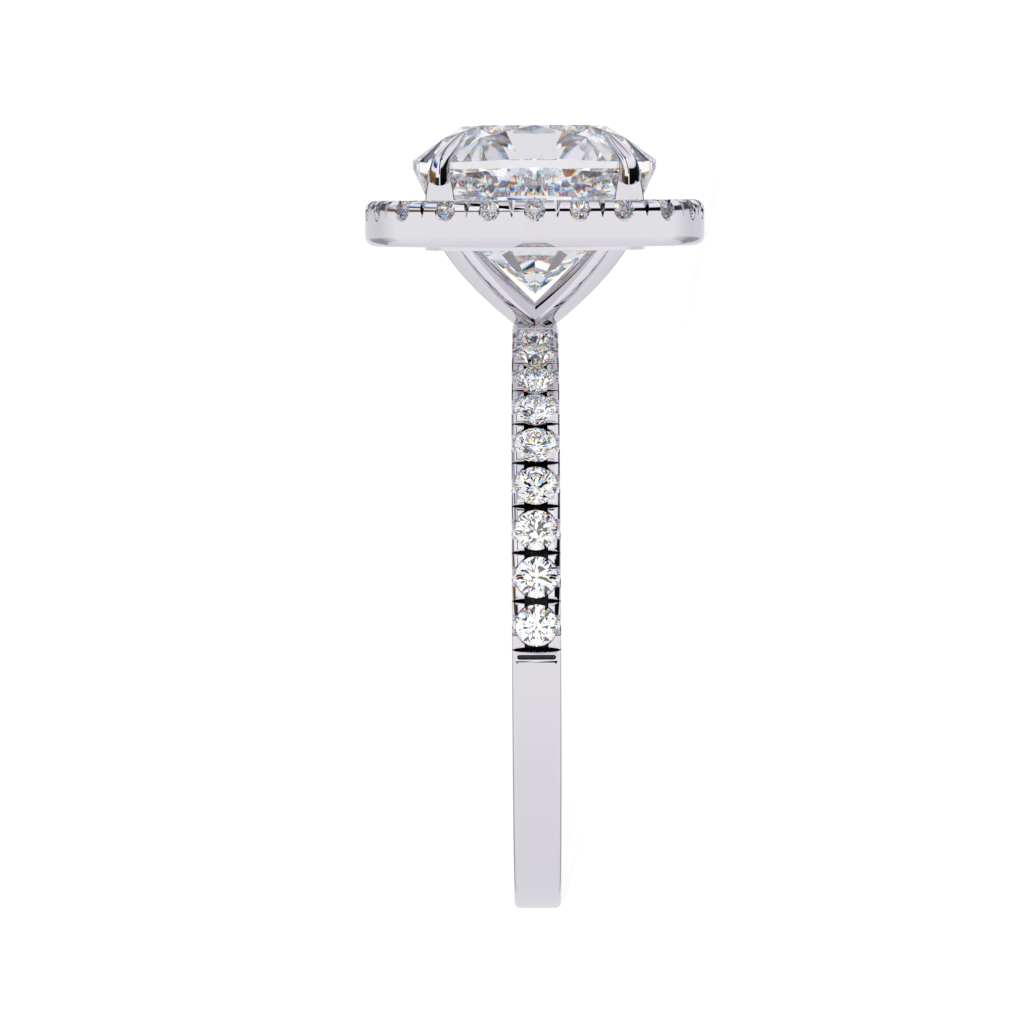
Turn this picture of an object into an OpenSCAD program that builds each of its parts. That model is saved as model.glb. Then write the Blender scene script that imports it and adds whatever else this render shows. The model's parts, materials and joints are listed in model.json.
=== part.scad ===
// Halo engagement ring. A cushion-cut centre stone sits in a V-shaped basket of four arms that
// end in claws, inside a cushion-shaped halo of 24 small stones. Each shoulder of the round
// shank carries nine more. The ring lies on its side as it rests by itself, on the band's edge
// and the halo's wall, with its head towards +X and its finger hole along a tilted Z.

/* [Shank] */
// Inner diameter of the band, which is the finger size
bore_diameter = 17.3; // [16.5:0.1:18.5]
// Width of the band along the finger
shank_width = 1.6; // [1.55:0.05:1.8]
// Thickness of the band
shank_thickness = 1.52; // [1.45:0.01:1.7]
// Radius of the band's rounded outer edges
shank_outer_edge = 0.2; // [0.1:0.05:0.25]
// Radius of the band's rounded inner edges
shank_inner_edge = 0.15; // [0.1:0.05:0.25]

/* [Shoulder stones] */
// Stones on each shoulder
shoulder_count = 9; // [5:1:9]
// Diameter of a shoulder stone
shoulder_stone = 1.38; // [1.2:0.02:1.4]
// Angle from one shoulder stone to the next
shoulder_pitch = 8.97; // [8.9:0.01:9.1]
// Angle of the lowest shoulder stone above the middle of the finger hole
shoulder_start = 3.64; // [2:0.02:4]

/* [Centre stone] */
// Width of the centre stone from side to side
centre_across = 8.48; // [8.3:0.02:8.5]
// Radius of the stone's bulging sides
centre_side_radius = 6; // [5.8:0.1:6.6]
// Radius of the stone's rounded corners
centre_corner_radius = 2.4; // [2.2:0.02:2.6]
// Height of the table, its flat top, above the middle of the finger hole
table_height = 17; // [16.9:0.05:17.1]
// Height of the crown, from the girdle to the table
crown_height = 1.21; // [1.1:0.01:1.3]
// Thickness of the girdle
girdle_height = 0.26; // [0.2:0.01:0.3]
// Height of the pavilion, from the girdle to the culet
pavilion_height = 4.34; // [4.2:0.02:4.4]

/* [Halo] */
// Width of the halo from side to side
halo_across = 11.72; // [11.6:0.02:11.9]
// Radius of the halo's bulging sides
halo_side_radius = 9; // [8.8:0.1:9.4]
// Radius of the halo's rounded corners
halo_corner_radius = 3.46; // [3.4:0.02:3.6]
// Height of the halo's underside above the middle of the finger hole
halo_bottom = 12.8; // [12.7:0.05:12.9]
// Height of the halo's top above the middle of the finger hole
halo_top = 14.4; // [14.3:0.05:14.5]
// Stones in the halo
halo_count = 24; // [24:1:24]
// Diameter of a halo stone
halo_stone = 1.24; // [1.1:0.02:1.26]

/* [Basket and claws] */
// Thickness of a basket arm
arm_thickness = 0.76; // [0.6:0.02:0.9]
// Distance of a prong's outer face from the head's axis, along the corner
stem_outer = 4.85; // [4.8:0.01:4.95]
// Distance of a prong's inner face from the head's axis, along the corner
stem_inner = 4.15; // [4:0.05:4.3]
// Height of the point where the inner edges of the arms meet
basket_fork = 10.9; // [10.7:0.05:11]

/* [Fit] */
// Gap between a stone and the metal that holds it
stone_gap = 0.03; // [0.02:0.005:0.05]

/* [Hidden] */
$fn = 48;
metal_colour = [0.87, 0.86, 0.88];
stone_colour = [0.93, 0.95, 0.98];

bore_radius = bore_diameter / 2;
band_radius = bore_radius + shank_thickness;
arc_steps = 4;
curve_steps = 14;
side_steps = 8;
corner_steps = 6;
overshoot = 0.4;

// A round brilliant's proportions, as parts of its diameter
brilliant_table = 0.57;
brilliant_crown = 0.15;
brilliant_girdle = 0.03;
brilliant_pavilion = 0.43;
star_reach = 0.78;
lower_half_reach = 0.22;

// How deep the small stones' girdles lie under the metal's top
shoulder_sink = 0.28;
halo_sink = 0.34;

// The U-shaped cuts that open each small seat to the side, and the V notches between prongs
cut_width = 0.68;
cut_depth = 0.73;
notch_width = 0.2;
notch_depth = 0.58;
slot_width = 0.78;
slot_length = 0.5;
slot_depth = 0.75;

// The halo's section: a deep rim with the stones, and a thin plate that reaches in to the prongs
halo_rim = 1.52;
halo_plate = 2.5;
plate_thickness = 0.3;
rail_inset = 2.06;
rail_drop = 0.14;
halo_bottom_edge = 0.35;
halo_top_edge = 0.38;
stone_inset = 0.75;

// The basket arm's outer and inner edges are curves with these four points: along the corner, up
arm_outer_curve = [[0.6, 10.1], [2.1, 11], [stem_outer, 12.8], [stem_outer, halo_top]];
arm_inner_curve = [[arm_thickness / 2, basket_fork], [1.46, 11.6], [stem_inner, 13.4],
                   [stem_inner, halo_top]];
stem_top = 15.05;
basket_foot = 9.6;

// Each claw is a row of rounded sections: height, distance from the axis, radius
claw_sections = [
    [14.7, 4.5, 0.3],
    [15.1, 4.58, 0.4],
    [15.63, 4.45, 0.37],
    [16, 4.27, 0.32],
    [16.28, 4.08, 0.26],
    [16.55, 3.78, 0.19],
    [16.82, 3.36, 0.06]
];
claw_sides = 10;

// The centre stone's rings of points, as parts of the outline's distance from the middle. The
// belly is where its steep rim turns into the mains, which end at eight small culet facets.
centre_table = 0.59;
centre_star = 0.79;
belly_at_mains = 0.88;
belly_between = 0.915;
rim_slope = 62;
culet_ring = 0.65;
culet_slope = 27;

// Cushion outlines: every outline has the same corner centres, so offsets stay parallel
function corner_centre(across, side, corner) =
    let (shift = side - across / 2, reach = side - corner)
    (-shift + sqrt(2 * reach * reach - shift * shift)) / 2;
halo_corner = corner_centre(halo_across, halo_side_radius, halo_corner_radius);
halo_shift = halo_side_radius - halo_across / 2;
halo_side_angle = atan2(halo_corner, halo_corner + halo_shift);
halo_corner_angle = 90 - 2 * halo_side_angle;
stone_side_radius = halo_side_radius - stone_inset;
stone_corner_radius = halo_corner_radius - stone_inset;
side_half_length = stone_side_radius * halo_side_angle * PI / 180;
corner_length = stone_corner_radius * halo_corner_angle * PI / 180;
quarter_length = 2 * side_half_length + corner_length;

centre_corner = corner_centre(centre_across, centre_side_radius, centre_corner_radius);
girdle_top = table_height - crown_height;
girdle_bottom = girdle_top - girdle_height;
culet_height = girdle_bottom - pavilion_height;

// How the ring lies: both the band's rounded edge and the halo's rounded lower edge touch
contact_rise = halo_bottom + halo_bottom_edge + band_radius - shank_outer_edge;
contact_run = (halo_across - shank_width) / 2 - halo_bottom_edge + shank_outer_edge;
rest_tilt = atan2(contact_run, contact_rise)
          + asin((halo_bottom_edge - shank_outer_edge) / norm([contact_run, contact_rise]));

// Points of an arc from one angle to another
function arc(centre, radius, from, to, steps) =
    [for (i = [0:steps]) let (a = from + (to - from) * i / steps)
        centre + radius * [cos(a), sin(a)]];

// Points of a cubic curve through its first and last point, led by the two between
function cubic(p, steps) =
    [for (i = [0:steps]) let (t = i / steps, s = 1 - t)
        s * s * s * p[0] + 3 * s * s * t * p[1] + 3 * s * t * t * p[2] + t * t * t * p[3]];

// Where a halo stone sits: x, y and the direction of the halo's outside there. The way round
// starts at the middle of one side; each quarter is half a side, a corner and half a side.
function halo_place(length) =
    let (quarter = floor(length / quarter_length), s = length - quarter * quarter_length)
    let (turn = 90 * quarter)
    s < side_half_length ?
        let (a = s / stone_side_radius * 180 / PI)
        [rotated([stone_side_radius * cos(a) - halo_shift, stone_side_radius * sin(a)], turn), turn + a]
    : s < side_half_length + corner_length ?
        let (a = halo_side_angle + (s - side_half_length) / stone_corner_radius * 180 / PI)
        [rotated([halo_corner, halo_corner] + stone_corner_radius * [cos(a), sin(a)], turn), turn + a]
    :
        let (a = 90 - (quarter_length - s) / stone_side_radius * 180 / PI)
        [rotated([stone_side_radius * cos(a), stone_side_radius * sin(a) - halo_shift], turn), turn + a];
function rotated(p, a) = [p.x * cos(a) - p.y * sin(a), p.x * sin(a) + p.y * cos(a)];
halo_pitch = 4 * quarter_length / halo_count;

// Distance from the middle to the centre stone's outline at an angle, moved out by grow
function centre_reach(angle, grow) =
    let (a = abs((angle + 45) - 90 * floor((angle + 45) / 90) - 45))
    let (side = centre_side_radius + grow, corner = centre_corner_radius + grow)
    let (shift = centre_side_radius - centre_across / 2, c = centre_corner)
    let (joint = atan2(c, c + shift))
    a < atan2(c + corner * sin(joint), c + corner * cos(joint)) ?
        -shift * cos(a) + sqrt(side * side - pow(shift * sin(a), 2))
    :
        c * (cos(a) + sin(a)) + sqrt(corner * corner - pow(c * (cos(a) - sin(a)), 2));

// The band's and the halo's sections, in distance from the axis or from the wall, and height
band_section = concat(
    arc([band_radius - shank_outer_edge, shank_width / 2 - shank_outer_edge], shank_outer_edge, 0, 90,
        arc_steps),
    arc([bore_radius + shank_inner_edge, shank_width / 2 - shank_inner_edge], shank_inner_edge, 90, 180,
        arc_steps),
    arc([bore_radius + shank_inner_edge, shank_inner_edge - shank_width / 2], shank_inner_edge, 180, 270,
        arc_steps),
    arc([band_radius - shank_outer_edge, shank_outer_edge - shank_width / 2], shank_outer_edge, 270, 360,
        arc_steps));
halo_section = concat(
    [[-halo_plate, halo_bottom - rail_drop], [-rail_inset, halo_bottom - rail_drop],
     [-rail_inset, halo_bottom]],
    arc([-halo_bottom_edge, halo_bottom + halo_bottom_edge], halo_bottom_edge, 270, 360, arc_steps),
    arc([-halo_top_edge, halo_top - halo_top_edge], halo_top_edge, 0, 90, arc_steps),
    [[-halo_rim, halo_top], [-halo_rim, halo_bottom + plate_thickness],
     [-halo_plate, halo_bottom + plate_thickness]]);

// Lowest point and the two ends of the ring as it lies, from the sections and the table
function lying_height(p) = p.y * sin(rest_tilt) - p.x * cos(rest_tilt);
function lying_length(p) = p.y * cos(rest_tilt) + p.x * sin(rest_tilt);
floor_height = min(concat(
    [for (p = band_section) lying_height([p.y, -p.x])],
    [for (p = halo_section) lying_height([halo_across / 2 + p.x, p.y])]));
foot_end = min([for (p = band_section) lying_length([p.y, -p.x])]);
table_half = centre_table * centre_across / 2;
head_end = lying_length([table_half, table_height]);

halo_names = [for (i = [1:halo_count]) str("halo_stone_", i)];
front_names = [for (i = [1:shoulder_count]) str("front_shoulder_stone_", i)];
back_names = [for (i = [1:shoulder_count]) str("back_shoulder_stone_", i)];

// Lays the upright ring on its side: its head's axis, upright until here, turns towards +X
module lying() {
    translate([-(foot_end + head_end) / 2, 0, -floor_height])
        rotate([0, 90 - rest_tilt, 0])
            children();
}

// Puts a child on the band's outside at an angle above the finger hole's middle. The child's Z
// points away from the finger, its X runs along it. side is -1 for the front and 1 for the back.
module on_shoulder(angle, side) {
    rotate([side * (angle - 90), 0, 0])
        translate([0, 0, band_radius])
            children();
}

// Puts a child on the halo's top. Its X points to the halo's outside, its Z up.
module on_halo(length) {
    place = halo_place(length);
    translate([place[0].x, place[0].y, halo_top])
        rotate([0, 0, place[1]])
            children();
}

// A round brilliant with its girdle's top at height 0: a table, 8 stars, 8 kites, 16 upper
// halves, 16 girdle faces, 16 lower halves and 8 pavilion mains that meet in the culet
module brilliant(diameter) {
    r = diameter / 2;
    crown = brilliant_crown * diameter;
    girdle = -brilliant_girdle * diameter;
    pavilion = brilliant_pavilion * diameter;
    table_r = brilliant_table * r;
    star_r = star_reach * r;
    star_z = crown * (r - star_r * cos(22.5)) / (r - table_r);
    lower_r = lower_half_reach * r;
    lower_z = girdle - pavilion * (1 - lower_r * cos(22.5) / r);
    points = concat(
        [for (i = [0:7]) [table_r * cos(45 * i), table_r * sin(45 * i), crown]],
        [for (i = [0:7]) [star_r * cos(45 * i + 22.5), star_r * sin(45 * i + 22.5), star_z]],
        [for (z = [0, girdle], j = [0:15]) [r * cos(22.5 * j), r * sin(22.5 * j), z]],
        [for (i = [0:7]) [lower_r * cos(45 * i + 22.5), lower_r * sin(45 * i + 22.5), lower_z]],
        [[0, 0, girdle - pavilion]]);
    star = 8;
    top = 16;
    bottom = 32;
    lower = 48;
    culet = 56;
    faces = concat(
        [[for (i = [0:7]) 7 - i]],
        [for (i = [0:7]) [i, (i + 1) % 8, star + i]],
        [for (i = [0:7]) [i, star + i, top + 2 * i, star + (i + 7) % 8]],
        [for (i = [0:7]) [star + i, top + 2 * i + 1, top + 2 * i]],
        [for (i = [0:7]) [star + i, top + (2 * i + 2) % 16, top + 2 * i + 1]],
        [for (j = [0:15]) [top + j, top + (j + 1) % 16, bottom + (j + 1) % 16, bottom + j]],
        [for (i = [0:7]) [lower + i, bottom + 2 * i, bottom + 2 * i + 1]],
        [for (i = [0:7]) [lower + i, bottom + 2 * i + 1, bottom + (2 * i + 2) % 16]],
        [for (i = [0:7]) [culet, lower + (i + 7) % 8, bottom + 2 * i, lower + i]]);
    polyhedron(points, faces);
}

// The room that a round brilliant takes, with the gap: a cone under the girdle, a round hole above
module brilliant_seat(diameter, sink) {
    r = diameter / 2 + stone_gap;
    depth = (brilliant_girdle + brilliant_pavilion) * diameter + stone_gap * 2;
    rotate_extrude()
        polygon([[0, -depth], [r * 0.12, -depth], [r, -brilliant_girdle * diameter - stone_gap],
                 [r, sink + overshoot], [0, sink + overshoot]]);
}

// A U-shaped cut that runs along X from one place to another, measured down from height 0
module u_cut(from, to, depth) {
    r = cut_width / 2;
    translate([from, 0, 0])
        rotate([90, 0, 90])
            linear_extrude(to - from)
                polygon(concat([[r, overshoot], [-r, overshoot]],
                               arc([0, r - depth], r, 180, 360, 2 * arc_steps)));
}

// A V-shaped notch that runs along X from one place to another, measured down from height 0
module v_notch(from, to) {
    mouth = notch_width / 2 * (notch_depth + overshoot) / notch_depth;
    translate([from, 0, 0])
        rotate([90, 0, 90])
            linear_extrude(to - from)
                polygon([[0, -notch_depth], [mouth, overshoot], [-mouth, overshoot]]);
}

// A cushion-shaped rim: its section is carried round four side arcs and four corner arcs. Each
// station is an arc's centre and radius, and the angle at which the section stands.
module halo_body() {
    stations = [for (quarter = [0:3]) each concat(
        [for (i = [0:side_steps - 1])
            [rotated([-halo_shift, 0], 90 * quarter), halo_side_radius,
             90 * quarter + halo_side_angle * (2 * i / side_steps - 1)]],
        [for (i = [0:corner_steps - 1])
            [rotated([halo_corner, halo_corner], 90 * quarter), halo_corner_radius,
             90 * quarter + halo_side_angle + halo_corner_angle * i / corner_steps]])];
    count = len(stations);
    width = len(halo_section);
    points = [for (s = stations, p = halo_section)
        [s[0].x + (s[1] + p.x) * cos(s[2]), s[0].y + (s[1] + p.x) * sin(s[2]), p.y]];
    faces = [for (i = [0:count - 1], j = [0:width - 1])
        let (i2 = (i + 1) % count, j2 = (j + 1) % width)
        [i * width + j, i * width + j2, i2 * width + j2, i2 * width + j]];
    polyhedron(points, faces);
}

// Seats, U cuts and V notches all round the halo
module halo_cuts() {
    for (i = [0:halo_count - 1]) {
        on_halo(i * halo_pitch) {
            translate([0, 0, -halo_sink])
                brilliant_seat(halo_stone, halo_sink);
            u_cut(0, stone_inset + overshoot, cut_depth);
        }
        on_halo((i + 0.5) * halo_pitch)
            v_notch(-0.1, stone_inset + overshoot);
    }
}

// Seats, U cuts, V notches and open slots along one shoulder
module shoulder_cuts(side) {
    half = shank_width / 2 + overshoot;
    for (i = [0:shoulder_count - 1]) {
        on_shoulder(shoulder_start + i * shoulder_pitch, side) {
            translate([0, 0, -shoulder_sink])
                brilliant_seat(shoulder_stone, shoulder_sink);
            u_cut(-half, half, cut_depth);
        }
    }
    for (i = [0:shoulder_count]) {
        on_shoulder(shoulder_start + (i - 0.5) * shoulder_pitch, side) {
            v_notch(-half, half);
            translate([-slot_width / 2, -slot_length / 2, -slot_depth])
                cube([slot_width, slot_length, slot_depth + overshoot]);
        }
    }
}

// The plain round band, its hole along X
module band() {
    rotate([0, 90, 0])
        rotate_extrude()
            polygon(band_section);
}

// Two crossed V-shaped plates make the four arms and the prongs' stems
module basket() {
    outer = cubic(arm_outer_curve, curve_steps);
    inner = cubic(arm_inner_curve, curve_steps);
    half = concat([[stem_inner, stem_top], [stem_outer, stem_top]],
                  [for (i = [0:curve_steps]) outer[curve_steps - i]],
                  [[arm_outer_curve[0].x, basket_foot]]);
    mirrored = [for (i = [0:len(half) - 1]) let (p = half[len(half) - 1 - i]) [-p.x, p.y]];
    inner_edge = [for (i = [0:curve_steps]) inner[i]];
    inner_back = [for (i = [0:curve_steps]) let (p = inner[curve_steps - i]) [-p.x, p.y]];
    for (turn = [45, 135])
        rotate([0, 0, turn])
            rotate([90, 0, 0])
                linear_extrude(arm_thickness, center = true)
                    polygon(concat(half, mirrored, inner_back, inner_edge));
}

// A claw is a stack of rounded sections that narrows and leans in over the stone's corner
module claw() {
    rings = len(claw_sections);
    points = [for (s = claw_sections, k = [0:claw_sides - 1]) let (a = 360 * k / claw_sides)
        [s[1] + s[2] * cos(a), s[2] * sin(a), s[0]]];
    faces = concat(
        [[for (k = [0:claw_sides - 1]) k]],
        [[for (k = [0:claw_sides - 1]) rings * claw_sides - 1 - k]],
        [for (i = [0:rings - 2], k = [0:claw_sides - 1]) let (n = (k + 1) % claw_sides)
            [i * claw_sides + k, (i + 1) * claw_sides + k, i * claw_sides + n]],
        [for (i = [0:rings - 2], k = [0:claw_sides - 1]) let (n = (k + 1) % claw_sides)
            [i * claw_sides + n, (i + 1) * claw_sides + k, (i + 1) * claw_sides + n]]);
    polyhedron(points, faces);
}

// The centre stone: a cushion brilliant with a table, 8 stars, 16 half kites, 32 upper halves,
// a girdle of 32 sides, a steep faceted rim under it, the mains and 8 culet facets. Its grow
// moves every face out by about that much.
module cushion_stone(grow) {
    table_z = table_height + grow;
    top_z = girdle_top + grow / 2;
    bottom_z = girdle_bottom - grow / 2;
    star_z = top_z + (table_z - top_z) * (1 - centre_star * cos(22.5)) / (1 - centre_table);
    tip_z = culet_height - grow;
    points = concat(
        [for (i = [0:7]) ring_point(45 * i, centre_table, grow, table_z)],
        [for (i = [0:7]) ring_point(45 * i + 22.5, centre_star, grow, star_z)],
        [for (z = [top_z, bottom_z], j = [0:31]) ring_point(11.25 * j, 1, grow, z)],
        [for (j = [0:15])
            let (part = j % 2 == 0 ? belly_at_mains : belly_between)
            let (drop = (1 - part) * centre_reach(22.5 * j, grow) * tan(rim_slope))
            ring_point(22.5 * j, part, grow, bottom_z - drop)],
        [for (i = [0:7])
            let (r = (culet_ring + grow) * centre_reach(45 * i, 0) / centre_reach(0, 0))
            [r * cos(45 * i), r * sin(45 * i), tip_z + culet_ring * tan(culet_slope)]],
        [[0, 0, tip_z]]);
    star = 8;
    top = 16;
    bottom = 48;
    belly = 80;
    ring = 96;
    tip = 104;
    faces = concat(
        [[for (i = [0:7]) 7 - i]],
        [for (i = [0:7]) [i, (i + 1) % 8, star + i]],
        [for (i = [0:7]) [i, star + i, top + 4 * i]],
        [for (i = [0:7]) [i, top + 4 * i, star + (i + 7) % 8]],
        [for (i = [0:7], k = [0:3]) [star + i, top + (4 * i + k + 1) % 32, top + 4 * i + k]],
        [for (j = [0:31]) [top + j, top + (j + 1) % 32, bottom + j]],
        [for (j = [0:31]) [top + (j + 1) % 32, bottom + (j + 1) % 32, bottom + j]],
        [for (j = [0:15]) [belly + j, bottom + 2 * j, bottom + 2 * j + 1]],
        [for (j = [0:15]) [belly + (j + 1) % 16, bottom + 2 * j + 1, bottom + (2 * j + 2) % 32]],
        [for (j = [0:15]) [belly + j, bottom + 2 * j + 1, belly + (j + 1) % 16]],
        [for (i = [0:7]) [ring + i, belly + 2 * i, belly + 2 * i + 1]],
        [for (i = [0:7]) [ring + (i + 1) % 8, belly + 2 * i + 1, belly + (2 * i + 2) % 16]],
        [for (i = [0:7]) [ring + i, belly + 2 * i + 1, ring + (i + 1) % 8]],
        [for (i = [0:7]) [tip, ring + i, ring + (i + 1) % 8]]);
    polyhedron(points, faces);
}

// A point of the centre stone at an angle, a part of the way out to its outline, at a height
function ring_point(angle, part, grow, z) =
    let (r = part * centre_reach(angle, grow))
    [r * cos(angle), r * sin(angle), z];

module shank() {
    difference() {
        band();
        shoulder_cuts(-1);
        shoulder_cuts(1);
    }
}

module halo() {
    difference() {
        halo_body();
        halo_cuts();
    }
}

module prongs() {
    difference() {
        union() {
            basket();
            for (turn = [45:90:315])
                rotate([0, 0, turn])
                    claw();
        }
        cushion_stone(stone_gap);
    }
}

module shank_and_setting() {
    color(metal_colour)
        lying() {
            shank();
            halo();
            prongs();
        }
}

module centre_stone() {
    color(stone_colour)
        lying()
            cushion_stone(0);
}

module halo_stone_node(index) {
    color(stone_colour)
        lying()
            on_halo((index - 1) * halo_pitch)
                translate([0, 0, -halo_sink])
                    brilliant(halo_stone);
}

module shoulder_stone_node(index, side) {
    color(stone_colour)
        lying()
            on_shoulder(shoulder_start + (index - 1) * shoulder_pitch, side)
                translate([0, 0, -shoulder_sink])
                    brilliant(shoulder_stone);
}

shank_and_setting();
centre_stone();
for (i = [1:halo_count])
    halo_stone_node(i);
for (i = [1:shoulder_count]) {
    shoulder_stone_node(i, -1);
    shoulder_stone_node(i, 1);
}
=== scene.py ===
import json
import math

import bpy
import numpy as np
from mathutils import Matrix, Vector


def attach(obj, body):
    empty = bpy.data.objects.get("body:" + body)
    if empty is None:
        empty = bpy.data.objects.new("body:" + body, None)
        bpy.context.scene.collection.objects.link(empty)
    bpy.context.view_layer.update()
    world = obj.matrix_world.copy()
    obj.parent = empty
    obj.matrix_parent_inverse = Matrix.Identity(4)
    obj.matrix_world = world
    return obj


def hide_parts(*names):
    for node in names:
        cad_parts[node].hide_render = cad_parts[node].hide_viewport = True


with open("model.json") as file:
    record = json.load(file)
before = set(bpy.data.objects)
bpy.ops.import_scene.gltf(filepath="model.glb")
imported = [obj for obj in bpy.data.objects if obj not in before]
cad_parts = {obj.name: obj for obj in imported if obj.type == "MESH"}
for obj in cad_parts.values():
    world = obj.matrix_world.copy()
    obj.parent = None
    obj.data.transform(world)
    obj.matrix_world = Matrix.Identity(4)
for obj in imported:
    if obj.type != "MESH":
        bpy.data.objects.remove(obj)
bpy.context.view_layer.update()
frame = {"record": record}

# The ring lies on its side. Its own upright axes are the finger's, from left to right, the one
# from the front shoulder to the back, and the head's. The finger's bore gives them and the middle.
# The ring is drawn upright and in millimetres, and each piece is then laid down in metres.
millimetre = 0.001
bore = frame["record"]["mounts"][0]
finger_axis = -Vector(bore["axis"]).normalized()
back_axis = Vector((0, 1, 0))
head_axis = finger_axis.cross(back_axis)
upright = Matrix((finger_axis, back_axis, head_axis)).transposed().to_4x4()
lying = Matrix.Translation(bore["pos_m"]) @ upright @ Matrix.Scale(millimetre, 4)

# The camera looks at the ring's front with its head up, as the photograph does, from a little
# above the halo. The ring lies on its side, so the camera is rolled by about a quarter turn.
picture_pixels, focal_pixels, ring_column = 1024, 4213, 536.05
eye = Vector((0, -146, 14.4))
pitch, roll = math.radians(4.235), math.radians(-0.285)
yaw = math.atan((ring_column - picture_pixels / 2) / focal_pixels)
lens = bpy.data.cameras.new("camera")
lens.sensor_width = 36
lens.lens = lens.sensor_width * focal_pixels / picture_pixels
lens.clip_start, lens.clip_end = 0.01, 5
camera = bpy.data.objects.new("camera", lens)
camera.matrix_world = (Matrix.Translation(lying @ eye) @ upright @ Matrix.Rotation(yaw, 4, "Z")
                       @ Matrix.Rotation(math.pi / 2 - pitch, 4, "X") @ Matrix.Rotation(roll, 4, "Z"))
bpy.context.scene.collection.objects.link(camera)
bpy.context.scene.camera = camera
bpy.context.scene.view_settings.view_transform = "Standard"


# The floor is a sheet of opal acrylic, lit from below as for small goods, so that what lies on it
# casts only a faint shadow. Polished metal and stones are shown the tent in its place.
def colour(hex_code):
    """sRGB hex as linear colour: a twelfth of the value near black, and a power of 2.4 above it."""
    s = np.array([int(hex_code[i:i + 2], 16) for i in (0, 2, 4)]) / 255
    return (*np.where(s <= 0.04045, s / 12.92, ((s + 0.055) / 1.055) ** 2.4), 1.0)


def add_node(tree, kind, inputs=(), **settings):
    """One node with its settings; each input is a value, or an output socket to link from."""
    node = tree.nodes.new(kind)
    for name, value in settings.items():
        setattr(node, name, value)
    for key, value in dict(inputs).items():
        if isinstance(value, bpy.types.NodeSocket):
            tree.links.new(value, node.inputs[key])
        else:
            node.inputs[key].default_value = value
    return node


white = colour("FFFFFF")
floor_half, floor_glow = 2.0, 0.93
opal = bpy.data.materials.new("lit opal acrylic")
opal.use_nodes = True
acrylic = opal.node_tree
acrylic.nodes.clear()
glow = add_node(acrylic, "ShaderNodeEmission", {"Color": white, "Strength": floor_glow})
matt = add_node(acrylic, "ShaderNodeBsdfDiffuse", {"Color": colour("595959")})
sheet = add_node(acrylic, "ShaderNodeAddShader", {0: glow.outputs[0], 1: matt.outputs[0]})
add_node(acrylic, "ShaderNodeOutputMaterial", {"Surface": sheet.outputs[0]})
floor_mesh = bpy.data.meshes.new("floor")
floor_corners = floor_half * np.array([(-1, -1, 0), (1, -1, 0), (1, 1, 0), (-1, 1, 0)])
floor_mesh.from_pydata(floor_corners.tolist(), [], [(0, 1, 2, 3)])
floor_mesh.materials.append(opal)
floor = bpy.data.objects.new("floor", floor_mesh)
floor.visible_glossy = floor.visible_transmission = False
bpy.context.scene.collection.objects.link(floor)

# The studio is a white tent round the ring, with dark gaps between its lamps. It is even and pale
# up to the ring's level. Over that its front has a warm lamp and a blue one to the left, a long
# black screen to the right, and a narrow black crease. It is greyer behind the ring.
crease_axis, crease_half = 0.957 * finger_axis + 0.288 * head_axis, 0.075
wall_white, floor_white, lamp_gain = 1.1, 1.25, 1.15
world = bpy.data.worlds.new("white tent")
bpy.context.scene.world = world
world.use_nodes = True
tent = world.node_tree
tent.nodes.clear()
looking = add_node(tent, "ShaderNodeTexCoord").outputs["Generated"]
up, rightwards, frontwards, along_crease = (
    add_node(tent, "ShaderNodeVectorMath", {0: looking, 1: tuple(axis)}, operation="DOT_PRODUCT").outputs["Value"]
    for axis in (head_axis, finger_axis, -back_axis, crease_axis))
elevation = add_node(tent, "ShaderNodeMath", {0: up}, operation="ARCSINE").outputs[0]
azimuth = add_node(tent, "ShaderNodeMath", {0: rightwards, 1: frontwards}, operation="ARCTAN2").outputs[0]
from_front = add_node(tent, "ShaderNodeMath", {0: azimuth}, operation="ABSOLUTE").outputs[0]
height = add_node(tent, "ShaderNodeMapRange", {0: elevation, 1: -math.pi / 2, 2: math.pi / 2}).outputs[0]
# Each strip of the tent goes from the ground up, by degrees above level and the colours there
low = [(-90, "F2F0F3"), (-51, "F5F3F6"), (-28, "FAF9FB"), (-2, "FFFFFF"), (1.5, "FFFFFF")]
ahead = low + [(2.5, "303034"), (9, "303034"), (11, "FFFFFF"), (50, "FFFFFF"), (53, "2A2A2E"), (59, "2A2A2E"),
               (62, "E8E6EA"), (70, "E8E6EA"), (76, "C8C6CA"), (82, "F4F2F6"), (90, "FFFFFF")]
left = low + [(2.5, "6A4A24"), (16, "8A6A3C"), (20, "F4F6FA"), (28, "F4F6FA"), (31, "101850"), (38, "3C64B0"),
              (44, "C8E0FA"), (50, "F4F6FA"), (70, "F0F0F4"), (90, "E8E8EC")]
right = low + [(2.5, "08080A"), (26, "141418"), (29, "E4E4E8"), (46, "FAFAFC"), (60, "ECECF0"), (90, "E8E8EC")]
crease = [(-90, "F2F0F3"), (-28, "FAF9FB"), (15, "FFFFFF"), (16.5, "08080A"), (90, "08080A")]
behind = [(-90, "F2F0F3"), (-51, "EFEEF1"), (-29, "E6E5EA"), (-25, "9C9CA2"), (-8, "A4A4AA"), (-4, "E0DFE4"),
          (4, "E0DFE4"), (8, "4A4A52"), (24, "55555C"), (30, "F0F0F4"), (50, "F0F0F4"), (54, "76767C"),
          (64, "88868C"), (70, "D0D0D6"), (90, "E0E0E6")]
rear = [(-90, "F2F0F3"), (-51, "EFEEF1"), (0, "E4E3E8"), (34, "E0E0E4"), (40, "9C9CA2"), (90, "C0C0C6")]
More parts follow.
